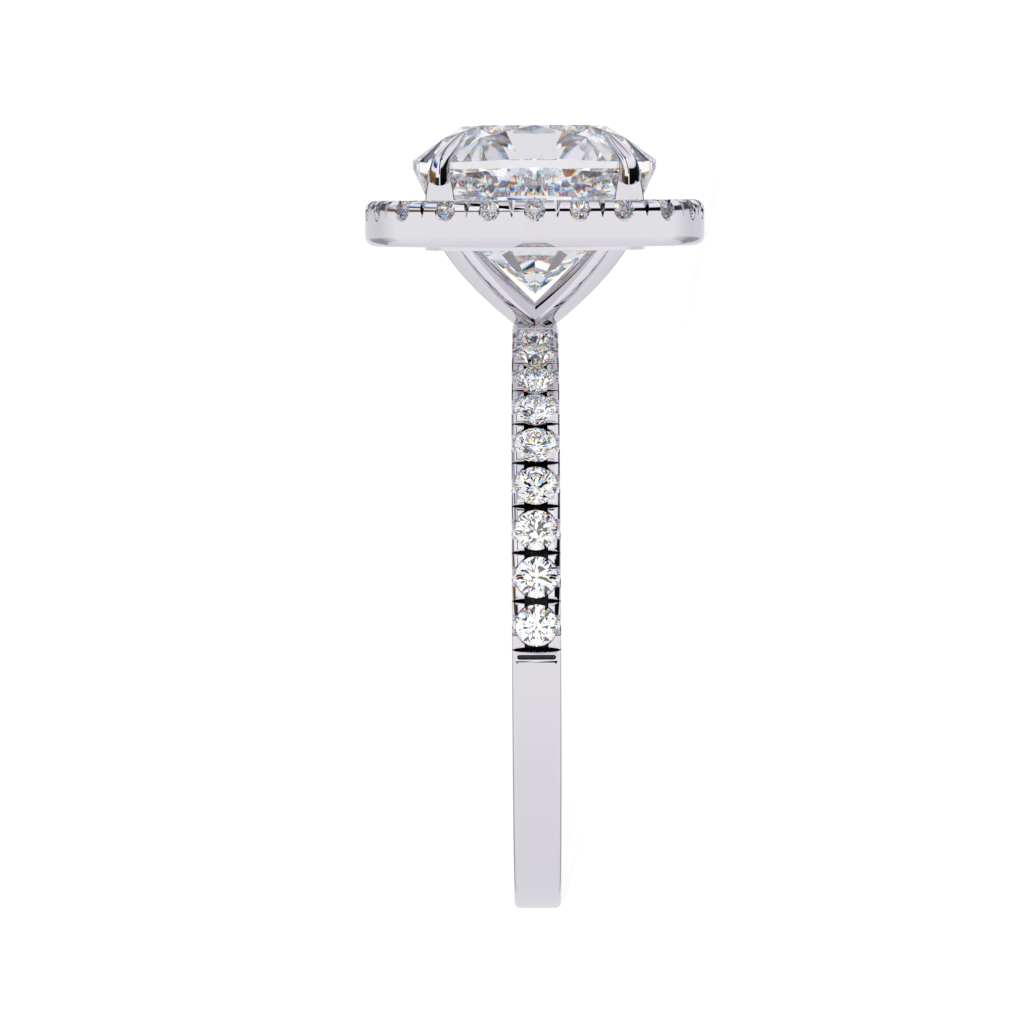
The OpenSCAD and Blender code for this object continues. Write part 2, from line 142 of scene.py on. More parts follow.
# A strip fades in over the ones before it from a start to an end azimuth, in degrees
to_left, to_right, to_back, to_rear = (
    add_node(tent, "ShaderNodeMapRange", {0: angle, 1: math.radians(start), 2: math.radians(end)}).outputs[0]
    for angle, start, end in ((azimuth, -40, -43), (azimuth, 1.5, 2.5), (from_front, 100, 140),
                              (from_front, 158, 162)))
in_crease = add_node(tent, "ShaderNodeMath", {0: along_crease, 1: 0.0, 2: crease_half},
                     operation="COMPARE").outputs[0]
walls = white
for share, stops in ((1.0, ahead), (to_left, left), (to_right, right), (in_crease, crease),
                     (to_back, behind), (to_rear, rear)):
    ramp = add_node(tent, "ShaderNodeValToRGB", {"Fac": height})
    marks = ramp.color_ramp.elements
    marks.remove(marks[1])
    marks[0].position, marks[0].color = stops[0][0] / 180 + 0.5, colour(stops[0][1])
    for degrees, code in stops[1:]:
        marks.new(degrees / 180 + 0.5).color = colour(code)
    walls = add_node(tent, "ShaderNodeMix", {0: share, 6: walls, 7: ramp.outputs["Color"]},
                     data_type="RGBA").outputs[2]
# Over the ring the lamps are brighter. The camera sees plain white, and the floor is lit by it.
lamps = add_node(tent, "ShaderNodeMapRange", {0: elevation, 1: math.radians(8), 2: math.radians(13),
                                              3: 1.0, 4: lamp_gain}).outputs[0]
ring_light = add_node(tent, "ShaderNodeBackground", {"Color": walls, "Strength": lamps})
floor_light = add_node(tent, "ShaderNodeBackground", {"Color": white, "Strength": floor_white})
seen_wall = add_node(tent, "ShaderNodeBackground", {"Color": white, "Strength": wall_white})
path = add_node(tent, "ShaderNodeLightPath").outputs
lit = add_node(tent, "ShaderNodeMixShader",
               {0: path["Is Diffuse Ray"], 1: ring_light.outputs[0], 2: floor_light.outputs[0]})
seen = add_node(tent, "ShaderNodeMixShader",
                {0: path["Is Camera Ray"], 1: lit.outputs[0], 2: seen_wall.outputs[0]})
add_node(tent, "ShaderNodeOutputWorld", {"Surface": seen.outputs[0]})

# The band is a round shank of white gold. It is cast, then polished and plated with rhodium,
# which makes a hard mirror with a faint violet cast. Polishing leaves soft streaks of more and
# less gloss, about a millimetre long.
streak_length = 1.0
rhodium = bpy.data.materials.new("polished rhodium plate")
rhodium.use_nodes = True
plate = rhodium.node_tree
plate.nodes.clear()
on_plate = add_node(plate, "ShaderNodeTexCoord").outputs["Object"]
streaks = add_node(plate, "ShaderNodeTexNoise",
                   {"Vector": on_plate, "Scale": 1 / (streak_length * millimetre), "Detail": 3.0})
gloss = add_node(plate, "ShaderNodeMapRange", {0: streaks.outputs["Fac"], 1: 0.3, 2: 0.7, 3: 0.015, 4: 0.045})
mirror = add_node(plate, "ShaderNodeBsdfPrincipled",
                  {"Base Color": colour("E1DFE4"), "Metallic": 1.0, "Roughness": gloss.outputs[0]})
add_node(plate, "ShaderNodeOutputMaterial", {"Surface": mirror.outputs[0]})


def arc(centre, radius, start, end, steps):
    """Points of an arc in a plane: its centre plus the radius times the cosine and sine of angles in degrees."""
    turn = np.radians(np.linspace(start, end, steps + 1))
    return np.array(centre) + radius * np.stack([np.cos(turn), np.sin(turn)], -1)


def with_rims(section, near=0.015, least=0.1):
    """A closed section with two more points on each straight side over the least length, close to its
    ends, so that smooth shading bends at the edges alone and leaves the flats flat."""
    step = np.roll(section, -1, 0) - section
    length = np.linalg.norm(step, axis=1, keepdims=True)
    trio = np.stack([section, section + step * near / length, section + step * (1 - near / length)], 1)
    return trio[np.hstack([length > 0, length > least, length > least])]


def shell(rings, closed=False):
    """Points and faces of a skin over rings of points. Each quad joins two neighbours on a ring to the
    same two on the next. The skin goes on to the first ring again if it is closed, or else ends in
    flat faces. It is turned so that its quads look away from their rings' middles."""
    count, around = rings.shape[:2]
    i, j = np.meshgrid(np.arange(count if closed else count - 1), np.arange(around), indexing="ij")
    i2, j2 = (i + 1) % count, (j + 1) % around
    quads = np.stack([i * around + j, i * around + j2, i2 * around + j2, i2 * around + j], -1).reshape(-1, 4)
    points = rings.reshape(-1, 3)
    corners = points[quads]
    normal = np.cross(corners[:, 2] - corners[:, 0], corners[:, 3] - corners[:, 1])
    ring_middle = np.repeat(rings.mean(1), around, 0)[quads[:, 0]]
    faces = quads.tolist()
    if not closed:
        faces += [list(range(around))[::-1], list(range((count - 1) * around, count * around))]
    if (normal * (corners.mean(1) - ring_middle)).sum() < 0:
        faces = [face[::-1] for face in faces]
    return points, faces


def solid(name, skin, material=rhodium):
    """A mesh object of a skin's points and faces, in millimetres and upright."""
    mesh = bpy.data.meshes.new(name)
    mesh.from_pydata(np.asarray(skin[0]).tolist(), [], skin[1])
    mesh.materials.append(material)
    piece = bpy.data.objects.new(name, mesh)
    bpy.context.scene.collection.objects.link(piece)
    return piece


bore_radius, band_radius, band_half = 8.65, 10.17, 0.8
outer_edge, inner_edge = 0.2, 0.15
band_section = with_rims(np.concatenate([
    arc((band_radius - outer_edge, band_half - outer_edge), outer_edge, 0, 90, 8),
    arc((bore_radius + inner_edge, band_half - inner_edge), inner_edge, 90, 180, 8),
    arc((bore_radius + inner_edge, inner_edge - band_half), inner_edge, 180, 270, 8),
    arc((band_radius - outer_edge, outer_edge - band_half), outer_edge, 270, 360, 8)]))
# The section is carried round the finger: its distance out times the cosine and sine of each angle
round_finger = np.linspace(0, 2 * np.pi, 480, endpoint=False)[:, None]
outwards, along_finger = band_section.T
band = solid("band", shell(np.stack([
    along_finger + 0 * round_finger, outwards * np.cos(round_finger), outwards * np.sin(round_finger)], -1),
    closed=True))

# Each shoulder is set with nine stones. A round seat is drilled for each, a U cut opens it to
# both sides, and a V notch and a slot part the little prongs between two stones. The notches, the
# slots and the groove are dull, with a fine grain, and their dark grey colour is painted shade.
grain_size = 1 / 12
pit_shade_skin = bpy.data.materials.new("dull gold with painted shade in the pits")
pit_shade_skin.use_nodes = True
pit = pit_shade_skin.node_tree
pit.nodes.clear()
in_pit = add_node(pit, "ShaderNodeTexCoord").outputs["Object"]
grain = add_node(pit, "ShaderNodeTexNoise",
                 {"Vector": in_pit, "Scale": 1 / (grain_size * millimetre), "Detail": 2.0})
dull = add_node(pit, "ShaderNodeMapRange", {0: grain.outputs["Fac"], 1: 0.3, 2: 0.7, 3: 0.35, 4: 0.6})
# Its dark grey base colour is painted shade in the recesses; the grain in its roughness is the dull finish
cast = add_node(pit, "ShaderNodeBsdfPrincipled",
                {"Base Color": colour("4A474C"), "Metallic": 1.0, "Roughness": dull.outputs[0]})
add_node(pit, "ShaderNodeOutputMaterial", {"Surface": cast.outputs[0]})
# The stones' places go up from level by a pitch, in degrees, and their girdles lie sunk in the band
shoulder_count, shoulder_start, shoulder_pitch = 9, 3.64, 8.97
shoulder_stone, shoulder_sink = 1.38, 0.14
girdle_share, pavilion_share, drill_tip, stone_gap, overshoot = 0.03, 0.43, 0.12, 0.03, 0.4
cut_width, cut_depth, cut_reach, bevel = 0.68, 0.73, 0.3, 0.03
notch_length, notch_half, notch_depth, notch_round = 1.72, 0.085, 0.58, 0.07
slot_width, slot_length, slot_depth = 0.78, 0.5, 0.75
scoop_place, scoop_radius, scoop_depth, scoop_half = -0.265, 0.36, 0.04, 1.2
groove_place, groove_sink = -0.24, 0.03
groove_radii, groove_along = (0.03, 0.06, 0.08, 0.08, 0.06, 0.03), (-0.63, -0.61, -0.56, 0.56, 0.61, 0.63)


def shoulder_places(steps):
    """Places along both shoulders at steps of the pitch: points on the band's outside, and their
    axes along the finger, up the band and outwards."""
    rise = np.radians(shoulder_start + shoulder_pitch * np.asarray(steps, float))
    origins, axes = [], []
    for side in (-1, 1):
        out = np.stack([0 * rise, side * np.cos(rise), np.sin(rise)], -1)
        finger = np.broadcast_to([-side, 0.0, 0.0], out.shape)
        origins.append(band_radius * out)
        axes.append(np.stack([finger, np.cross(out, finger), out], 1))
    return np.concatenate(origins), np.concatenate(axes)


def copies(one, origins, axes):
    """A skin laid at many places: each point is a place's origin plus the point's three numbers
    times the place's three axes."""
    points, faces = one
    placed = np.asarray(origins)[:, None] + np.einsum("pi,kij->kpj", points, np.asarray(axes))
    return placed.reshape(-1, 3), [[v + k * len(points) for v in face] for k in range(len(axes)) for face in faces]


def worked(body, tool, operation="DIFFERENCE"):
    """The body cut by a tool, or joined to it. The tool is used up, and leaves its own material on
    the faces that it makes."""
    step = body.modifiers.new("work", "BOOLEAN")
    step.object, step.operation, step.solver, step.material_mode = tool, operation, "MANIFOLD", "TRANSFER"
    mesh = bpy.data.meshes.new_from_object(body.evaluated_get(bpy.context.evaluated_depsgraph_get()))
    body.modifiers.clear()
    body.data = mesh
    bpy.data.objects.remove(tool)
    return body


def finished(piece, slot, *nodes):
    """The piece is laid on its side in metres and rides on the ring. It is smooth but for the edges
    whose faces turn by over 28 degrees or differ in material."""
    mesh = piece.data
    mesh.transform(lying)
    mesh.shade_smooth()
    mesh.set_sharp_from_angle(angle=math.radians(28))
    sides, skins = np.empty((2, len(mesh.polygons)), int)
    mesh.polygons.foreach_get("loop_total", sides)
    mesh.polygons.foreach_get("material_index", skins)
    edges = np.empty(len(mesh.loops), int)
    mesh.loops.foreach_get("edge_index", edges)
    lowest, highest = np.full(len(mesh.edges), skins.max()), np.zeros(len(mesh.edges), int)
    np.minimum.at(lowest, edges, np.repeat(skins, sides))
    np.maximum.at(highest, edges, np.repeat(skins, sides))
    sharp = np.empty(len(mesh.edges), bool)
    mesh.edges.foreach_get("use_edge_sharp", sharp)
    mesh.edges.foreach_set("use_edge_sharp", sharp | (lowest != highest))
    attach(piece, "root")
    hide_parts(*nodes)


def turned_skin(profile, steps=48):
    """A skin of revolution: each profile point's radius times the cosine and sine of angles round Z."""
    turn = np.linspace(0, 2 * np.pi, steps, endpoint=False)
    r, z = np.array(profile)[:, :1], np.array(profile)[:, 1:]
    return shell(np.stack([r * np.cos(turn), r * np.sin(turn), z + 0 * turn], -1))


def seat(diameter, sink):
    """A drill's hole: a cone under the girdle and a cylinder over it, both round the stone's axis."""
    r = diameter / 2 + stone_gap
    return turned_skin([(drill_tip * r, -(girdle_share + pavilion_share) * diameter - 2 * stone_gap - sink),
                        (r, -girdle_share * diameter - stone_gap - sink), (r, overshoot)])


def along_x(profiles, places):
    """A bar along X whose flat profile of (y, z) points changes from place to place."""
    return shell(np.stack([np.column_stack([np.full(len(p), x), p]) for p, x in zip(profiles, places)]))


def u_profile(grow=0.0, width=cut_width, depth=cut_depth):
    """A U: a half circle at the cut's depth, and straight sides up from it, moved out by grow."""
    r = width / 2
    return np.concatenate([[(r + grow, overshoot), (-r - grow, overshoot)],
                           arc((0, r - depth), r + grow, 180, 360, 24)])


def v_profile(half, bend=0.0, depth=notch_depth, power=1.3):
    """A V: its half width is 0.005 at the tip and grows with a power of the height over that, and a
    quarter circle of the bend's radius rounds over the prongs beside it."""
    z = -np.array([1, 0.94, 0.85, 0.7, 0.55, 0.42, 0.3, 0.2, 0.138, 0.11, 0.08, 0.05, 0.025, 0.008, 0]) * depth
    y = 0.005 + half * (1 + z / notch_depth) ** power
    if bend:
        y += bend * (1 - np.sqrt(1 - np.clip(z / bend + 1, 0, 1) ** 2))
    flank = np.column_stack([np.append(y, y[-1] + 0.01), np.append(z, overshoot)])
    return np.concatenate([flank, flank[::-1] * (-1, 1)])


def box_profile(start, end, depth):
    """A flat-bottomed cut between two places along Y."""
    return np.array([(end, overshoot), (start, overshoot), (start, -depth), (end, -depth)])


def round_profile(middle, radius, depth):
    """A round-bottomed cut: the lower part of a circle, and straight sides up from it."""
    curve = arc((middle, radius - depth), radius, 190, 350, 24)
    return np.concatenate([[(curve[-1, 0], overshoot), (curve[0, 0], overshoot)], curve])


stone_places = shoulder_places(range(shoulder_count))
notch_places = shoulder_places(np.arange(shoulder_count + 1) - 0.5)
slot_places = shoulder_places(np.arange(shoulder_count - 1) + 0.5)
row_end = shoulder_places([-0.5])
band = worked(band, solid("drill", copies(seat(shoulder_stone, shoulder_sink), *stone_places)))
wide, flat = band_half + cut_reach, band_half - bevel
band = worked(band, solid("file", copies(along_x(
    [u_profile(cut_reach + bevel), u_profile(), u_profile(), u_profile(cut_reach + bevel)],
    [-wide, -flat, flat, wide]), *stone_places)))
# A notch is widest in the middle of its length, as a lens is, and its brims are rubbed round
across = np.linspace(-0.5, 0.5, 17) * notch_length
half_widths = notch_half * (1.02 - (2 * across / notch_length) ** 2)
# The notch's faces get the dull metal whose dark grey colour is painted shade
band = worked(band, solid("graver", copies(along_x(
    [v_profile(half) for half in half_widths], across), *notch_places), pit_shade_skin))
band = worked(band, solid("burnisher", copies(along_x(
    [v_profile(half, notch_round, notch_round) for half in half_widths], across), *notch_places)))
# Slots are sawn between two stones, and half a slot under the first one
# The slots' faces get the same dark grey painted shade
for start, places in ((-slot_length / 2, slot_places), (0, row_end)):
    blade = along_x([box_profile(start, slot_length / 2, slot_depth)] * 2, [-slot_width / 2, slot_width / 2])
    band = worked(band, solid("saw", copies(blade, *places), pit_shade_skin))
# A shallow scoop and a groove end the row; the groove's faces get the same dark grey painted shade
scoop = along_x([round_profile(scoop_place, scoop_radius, scoop_depth)] * 2, [-scoop_half, scoop_half])
groove = along_x([round_profile(groove_place, r, r + groove_sink) for r in groove_radii], groove_along)
band = worked(band, solid("scoop", copies(scoop, *row_end)))
band = worked(band, solid("groove", copies(groove, *row_end), pit_shade_skin))
finished(band, "white_gold", "shank_and_setting")

# The stones are diamonds, sawn, cut and polished to flat facets. A facet mirrors a part of the
# light as it comes in, and bends the rest, warm colours less than cool ones, which is a diamond's
# fire. Inside, light too slanted to get out is mirrored whole, so its paths are followed for long.
light = bpy.context.scene.cycles
light.max_bounces = light.glossy_bounces = light.transmission_bounces = 28
diamond_ior, spread = 2.42, 0.025
diamond = bpy.data.materials.new("cut diamond")
diamond.use_nodes = True
fire = diamond.node_tree
fire.nodes.clear()
# Three shares of the light that add up to white
warm, green, cool = (
    add_node(fire, "ShaderNodeBsdfRefraction", {"Color": colour(code), "Roughness": 0.0, "IOR": ior}).outputs[0]
    for code, ior in (("E07C00", diamond_ior - spread), ("8ACB8A", diamond_ior), ("007CE0", diamond_ior + spread)))
both_ends = add_node(fire, "ShaderNodeAddShader", {0: warm, 1: cool})
entering = add_node(fire, "ShaderNodeAddShader", {0: both_ends.outputs[0], 1: green})
leaving = add_node(fire, "ShaderNodeBsdfRefraction", {"Color": white, "Roughness": 0.0, "IOR": diamond_ior})
mirrored = add_node(fire, "ShaderNodeBsdfGlossy", {"Color": white, "Roughness": 0.0})
inside = add_node(fire, "ShaderNodeNewGeometry").outputs["Backfacing"]
outer_share = add_node(fire, "ShaderNodeFresnel", {"IOR": diamond_ior}).outputs[0]
inner_share = add_node(fire, "ShaderNodeMath", {0: outer_share, 1: 0.5}, operation="GREATER_THAN").outputs[0]
mirror_share = add_node(fire, "ShaderNodeMix", {0: inside, 2: outer_share, 3: inner_share},
                        data_type="FLOAT").outputs[0]
bent = add_node(fire, "ShaderNodeMixShader", {0: inside, 1: entering.outputs[0], 2: leaving.outputs[0]})
facet = add_node(fire, "ShaderNodeMixShader", {0: mirror_share, 1: bent.outputs[0], 2: mirrored.outputs[0]})
add_node(fire, "ShaderNodeOutputMaterial", {"Surface": facet.outputs[0]})


def brilliant(diameter, sink, crown=0.15):
    """A round brilliant under a place's height 0, its girdle's top at the sink: points at a share of
    the radius and turns of an eighth, and flat facets between them. A table, 8 stars, 8 kites, 16
    upper halves, 16 girdle faces, 16 lower halves and 8 pavilion mains that meet in the culet."""
    table, star, lower = 0.57, 0.8, 0.25
    flat_share = np.cos(np.pi / 8)
    layers = [(table, 8, 0, crown), (star, 8, 0.5, crown * (1 - star * flat_share) / (1 - table)), (1, 16, 0, 0),
              (1, 16, 0, -girdle_share),
              (lower, 8, 0.5, -girdle_share - pavilion_share * (1 - lower * flat_share)),
              (0, 1, 0, -girdle_share - pavilion_share)]
    points = np.concatenate([np.column_stack([
        reach * np.cos(turns) / 2, reach * np.sin(turns) / 2, np.full(count, height)]) * diameter
        for reach, count, start, height in layers
        for turns in [(np.arange(count) + start) * 2 * np.pi / count]]) - (0, 0, sink)
    i, j = np.arange(8), np.arange(16)
    back, on = (i + 7) % 8, (2 * i + 2) % 16
    facets = [(i, (i + 1) % 8, 8 + i), (i, 8 + i, 16 + 2 * i, 8 + back), (8 + i, 17 + 2 * i, 16 + 2 * i),
              (8 + i, 16 + on, 17 + 2 * i), (16 + j, 16 + (j + 1) % 16, 32 + (j + 1) % 16, 32 + j),
              (48 + i, 32 + 2 * i, 33 + 2 * i), (48 + i, 33 + 2 * i, 32 + on),
              (56 + 0 * i, 48 + back, 32 + 2 * i, 48 + i)]
    faces = [list(range(8))[::-1]] + [face for group in facets for face in np.stack(group, 1).tolist()]
    return points, [face[::-1] for face in faces]


def set_stone(name, skin):
    """A stone that stands for its node, with flat facets."""
    stone = solid(name + "_cut", skin, diamond)
    stone.data.transform(lying)
    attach(stone, "root")
    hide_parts(name)


shoulder_cut = brilliant(shoulder_stone, shoulder_sink)
for k, (origin, axes) in enumerate(zip(*stone_places)):
    shoulder = "front" if k < shoulder_count else "back"
    set_stone(f"{shoulder}_shoulder_stone_{k % shoulder_count + 1}",
              copies(shoulder_cut, origin[None], axes[None]))

# The halo is a cushion-shaped rim with a thin plate inside it and a rail under that. Its 24 stones
# are set as the shoulders' are, but its cuts open to the outside alone.
halo_half, halo_side, halo_round = 5.86, 9.0, 3.46
halo_bottom, halo_top, bottom_edge, top_edge = 12.83, 14.4, 0.35, 0.38
rim_width, plate_width, plate_thickness, rail_inset, rail_drop = 1.52, 2.5, 0.3, 2.06, 0.14
halo_count, halo_stone, halo_sink, halo_crown, stone_inset = 24, 1.24, 0.27, 0.2, 0.75
halo_cut, halo_cut_depth, rim_round, rim_start, rim_flare, rim_past = 0.62, 0.64, 0.085, 0.6, 0.2, 0.04
halo_notch_half, halo_notch_round, halo_notch_start = 0.125, 0.05, -0.1


def corner_middle(half, side, corner):
    """How far along X and Y the middle of a cushion's corner arc lies: where the reach from the
    middle of the side's arc is the difference of the two radii."""
    shift = side - half
    return (-shift + math.sqrt(2 * (side - corner) ** 2 - shift ** 2)) / 2


halo_corner, halo_shift = corner_middle(halo_half, halo_side, halo_round), halo_side - halo_half
side_turn = math.atan2(halo_corner, halo_corner + halo_shift)


def cushion(inset, way):
    """Places on a cushion outline, moved in by an inset, at shares of the way round: each quarter is
    half a side, a corner and half a side. A place is an arc's middle plus its radius times the
    direction, which comes back too, in radians."""
    side, corner = halo_side - inset, halo_round - inset
    lengths = np.array([side * side_turn, corner * (math.pi / 2 - 2 * side_turn), side * side_turn])
    quarter, s = np.divmod(np.asarray(way) * 4 * lengths.sum(), lengths.sum())
    stretch = np.digitize(s, np.cumsum(lengths)[:2])
    turns = np.array([s / side, side_turn + (s - lengths[0]) / corner, math.pi / 2 - (lengths.sum() - s) / side])
    angle = np.choose(stretch, turns)
    middles = np.array([(-halo_shift, 0), (halo_corner, halo_corner), (0, -halo_shift)])[stretch]
    radius = np.where(stretch == 1, corner, side)[:, None]
    x, y = (middles + radius * np.stack([np.cos(angle), np.sin(angle)], -1)).T
    c, s = np.cos(quarter * math.pi / 2), np.sin(quarter * math.pi / 2)
    return np.stack([x * c - y * s, x * s + y * c], -1), angle + quarter * math.pi / 2


def halo_places(steps):
    """Places on the halo's top over its stones, and their axes outwards, round and up."""
    spots, facing = cushion(stone_inset, (np.asarray(steps, float) / halo_count) % 1)
    out = np.stack([np.cos(facing), np.sin(facing), 0 * facing], -1)
    up = np.broadcast_to([0.0, 0, 1], out.shape)
    return np.column_stack([spots, np.full(len(spots), halo_top)]), np.stack([out, np.cross(up, out), up], 1)


halo_section = with_rims(np.concatenate([
    [(-plate_width, halo_bottom - rail_drop), (-rail_inset, halo_bottom - rail_drop), (-rail_inset, halo_bottom)],
    arc((-bottom_edge, halo_bottom + bottom_edge), bottom_edge, 270, 360, 10),
    arc((-top_edge, halo_top - top_edge), top_edge, 0, 90, 14),
    [(-rim_width, halo_top), (-rim_width, halo_bottom + plate_thickness),
     (-plate_width, halo_bottom + plate_thickness)]]))
# The section is carried along the outline: its distance out goes along the way that it faces there
outline, outline_turn = cushion(0, np.arange(384) / 384)
ways_out = np.stack([np.cos(outline_turn), np.sin(outline_turn)], -1)
halo = solid("halo", shell(np.concatenate([
    outline[:, None] + halo_section[:, :1] * ways_out[:, None],
    np.broadcast_to(halo_section[:, 1:], (len(outline), len(halo_section), 1))], -1), closed=True))
# The cuts' rims are rubbed round by a burnisher, which leaves them bright. The file that makes them
# is straight from its start to the rim, widens there by most of a quarter circle, and flares past it
burnished = rhodium.copy()
burnished.name = "burnished rhodium plate"
rim_turn = np.radians([0, 0, 18, 36, 50, 62, 72, 80, 80])
rim_grow = rim_round * (1 - np.cos(rim_turn)) + np.array([0] * 8 + [rim_flare])
rim_along = stone_inset - rim_round * (1 - np.sin(rim_turn)) + np.array([-rim_start] + [0] * 7 + [rim_past])
halo_stone_places = halo_places(range(halo_count))
halo_notch_places = halo_places(np.arange(halo_count) + 0.5)
halo = worked(halo, solid("drill", copies(seat(halo_stone, halo_sink), *halo_stone_places)))
halo = worked(halo, solid("file", copies(along_x(
    [u_profile(grow, halo_cut, halo_cut_depth) for grow in rim_grow], rim_along), *halo_stone_places), burnished))
halo = worked(halo, solid("graver", copies(along_x(
    [v_profile(halo_notch_half, halo_notch_round, power=0.8)] * 2,
    [halo_notch_start, stone_inset + overshoot]), *halo_notch_places)))
finished(halo, "white_gold", "shank_and_setting")
halo_stone_cut = brilliant(halo_stone, halo_sink, halo_crown)
for k, (origin, axes) in enumerate(zip(*halo_stone_places)):
    set_stone(f"halo_stone_{k + 1}", copies(halo_stone_cut, origin[None], axes[None]))

# The centre stone is a cushion cut of the same diamond. Its outline has eight kites and eight stars
# over it, and its belly curves in to eight mains that meet in the culet.
centre_half, centre_side, centre_round = 4.21, 5.5, 2.4
table_share, table_height, star_reach, star_height, star_lift = 0.59, 16.94, 3.557, 16.52, 0.8
girdle_top, girdle_bottom, girdle_drop, lower_drop = 15.77, 15.49, 0.1, 0.22
belly_share, belly_drop, belly_dip = 0.895, 0.93, 0.08
tip_share, tip_height, culet_height = 0.5, 12.75, 11.16


def centre_reach(angle):
    """How far the outline is from its middle at angles in degrees: to the side's arc where the
    ray meets that, and to the corner's arc elsewhere."""
    a = np.radians(np.abs((np.asarray(angle, float) + 45) % 90 - 45))
    shift, c = centre_side - centre_half, corner_middle(centre_half, centre_side, centre_round)
    joint = math.atan2(c, c + shift)
    to_side = -shift * np.cos(a) + np.sqrt(centre_side ** 2 - (shift * np.sin(a)) ** 2)
    to_corner = c * (np.cos(a) + np.sin(a)) + np.sqrt(centre_round ** 2 - (c * (np.cos(a) - np.sin(a))) ** 2)
    last = math.atan2(c + centre_round * math.sin(joint), c + centre_round * math.cos(joint))
    return np.where(a < last, to_side, to_corner)


def cushion_stone(grow=0.0):
    """The centre stone, moved out by grow: rings of points at a share of the outline's reach at
    angles, with flat facets between them. Its girdle droops towards the corners, by half of one
    less the cosine of four times the angle."""
    eighths = 45.0 * np.arange(8)
    stars = np.add.outer(90.0 * np.arange(4), (30, 60)).ravel()
    rim = np.add.outer(90.0 * np.arange(4), (0, 11.7, 23.4, 34.2, 45, 55.8, 66.6, 78.3)).ravel()
    belly = 22.5 * np.arange(16)
    droop = (1 - np.cos(np.radians(4 * rim))) / 2
    layers = [(eighths, table_share * centre_reach(eighths), table_height + grow + 0 * eighths),
              (stars, star_reach + 0 * stars, star_height + grow * star_lift + 0 * stars),
              (rim, centre_reach(rim), girdle_top - girdle_drop * droop),
              (rim, centre_reach(rim), girdle_bottom - lower_drop * droop),
              (belly, belly_share * centre_reach(belly),
               girdle_bottom - belly_drop - belly_dip * (np.arange(16) % 2)),
              (eighths + 22.5, tip_share * centre_reach(eighths + 22.5), tip_height - grow + 0 * eighths),
              (np.zeros(1), np.full(1, -grow), np.full(1, culet_height - grow))]
    points = np.concatenate([np.column_stack([
        (reach + grow) * np.cos(np.radians(angle)), (reach + grow) * np.sin(np.radians(angle)), height])
        for angle, reach, height in layers])
    i, j, k = np.arange(8), np.arange(16), np.arange(32)
    back, on, next16, next32 = (i + 7) % 8, (i + 1) % 8, (j + 1) % 16, (k + 1) % 32
    top, bottom, waist, tip, culet = 16, 48, 80, 96, 104
    facets = [(i, on, 8 + i), (i, 8 + i, top + 4 * i), (i, top + 4 * i, 8 + back),
              (8 + k // 4, top + next32, top + k), (top + k, top + next32, bottom + next32, bottom + k),
              (waist + j, bottom + 2 * j, bottom + 2 * j + 1), (waist + j, bottom + 2 * j + 1, waist + next16),
              (waist + next16, bottom + 2 * j + 1, bottom + (2 * j + 2) % 32),
              (tip + i, waist + 2 * i, waist + 2 * i + 1), (tip + i, waist + 2 * i + 1, waist + (2 * i + 2) % 16),
              (culet + 0 * i, tip + back, waist + 2 * i), (culet + 0 * i, waist + 2 * i, tip + i)]
    faces = [list(range(8))[::-1]] + [face for group in facets for face in np.stack(group, 1).tolist()]
    return points, [face[::-1] for face in faces]


set_stone("centre_stone", cushion_stone())

# The basket is four bars that rise from the band in a V and go up as posts through the halo.
# Their edges are rounded over. Each post is filed to a claw that leans in over the stone's corner.
bar_half, bar_edge, stem_outer, stem_inner = 0.5, 0.28, 4.85, 4.23
stone_room, claw_bite, claw_away = 0.02, 0.28, 4.515
outer_guide = np.array([(0.62, 10.05), (2.25, 11), (stem_outer, 12.75), (stem_outer, halo_top)])
inner_guide = np.array([(bar_half, 11.0), (1.52, 11.68), (stem_inner - 0.03, 13.4), (stem_inner, halo_top)])
outer_foot, inner_foot = (-0.1, 9.75), (-0.1, 10.6)
corner_turns = np.radians([45, 135, 225, 315])
corner_axes = np.array([[(np.cos(a), np.sin(a), 0), (-np.sin(a), np.cos(a), 0), (0, 0, 1)] for a in corner_turns])


def cubic(guide, steps=48):
    """Points on a cubic curve from a guide's first point to its last, led by the two between."""
    t = np.linspace(0, 1, steps)[:, None]
    s = 1 - t
    return s ** 3 * guide[0] + 3 * s * s * t * guide[1] + 3 * s * t * t * guide[2] + t ** 3 * guide[3]


def bar_rings(outer, inner, half, edge):
    """Rings of a bar whose middle lies in a plane through the head's axis: at each step a rectangle
    from its outer line to its inner one, as wide as twice the half, with rounded corners."""
    depth = np.linalg.norm(inner - outer, axis=-1, keepdims=True)
    inwards = (inner - outer) / depth
    quarter = arc((0, 0), edge, 0, 90, 8)
    rings = []
    for sx, sy in ((1, 1), (-1, 1), (-1, -1), (1, -1)):
        corner = quarter if sx * sy > 0 else quarter[::-1]
        sideways = sx * (half - edge + corner[:, 0])
        deep = depth / 2 + sy * (depth / 2 - edge + corner[:, 1])
        rings.append(np.stack([outer[:, None, 0] + deep * inwards[:, :1], sideways + 0 * deep,
                               outer[:, None, 1] + deep * inwards[:, 1:]], -1))
    return np.concatenate(rings, 1)


def smooth_line(points, steps):
    """A smooth line through points: between two of them, the cubic whose slope at each is half the
    way between that point's neighbours."""
    p = np.vstack([2 * points[0] - points[1], points, 2 * points[-1] - points[-2]])[:, None]
    a, b, c, d = p[:-3], p[1:-2], p[2:-1], p[3:]
    t = np.linspace(0, 1, steps, endpoint=False)[:, None]
    line = (2 * b + (c - a) * t + (2 * a - 5 * b + 4 * c - d) * t ** 2 + (3 * b - a - 3 * c + d) * t ** 3) / 2
    return np.vstack([line.reshape(-1, points.shape[1]), points[-1:]])


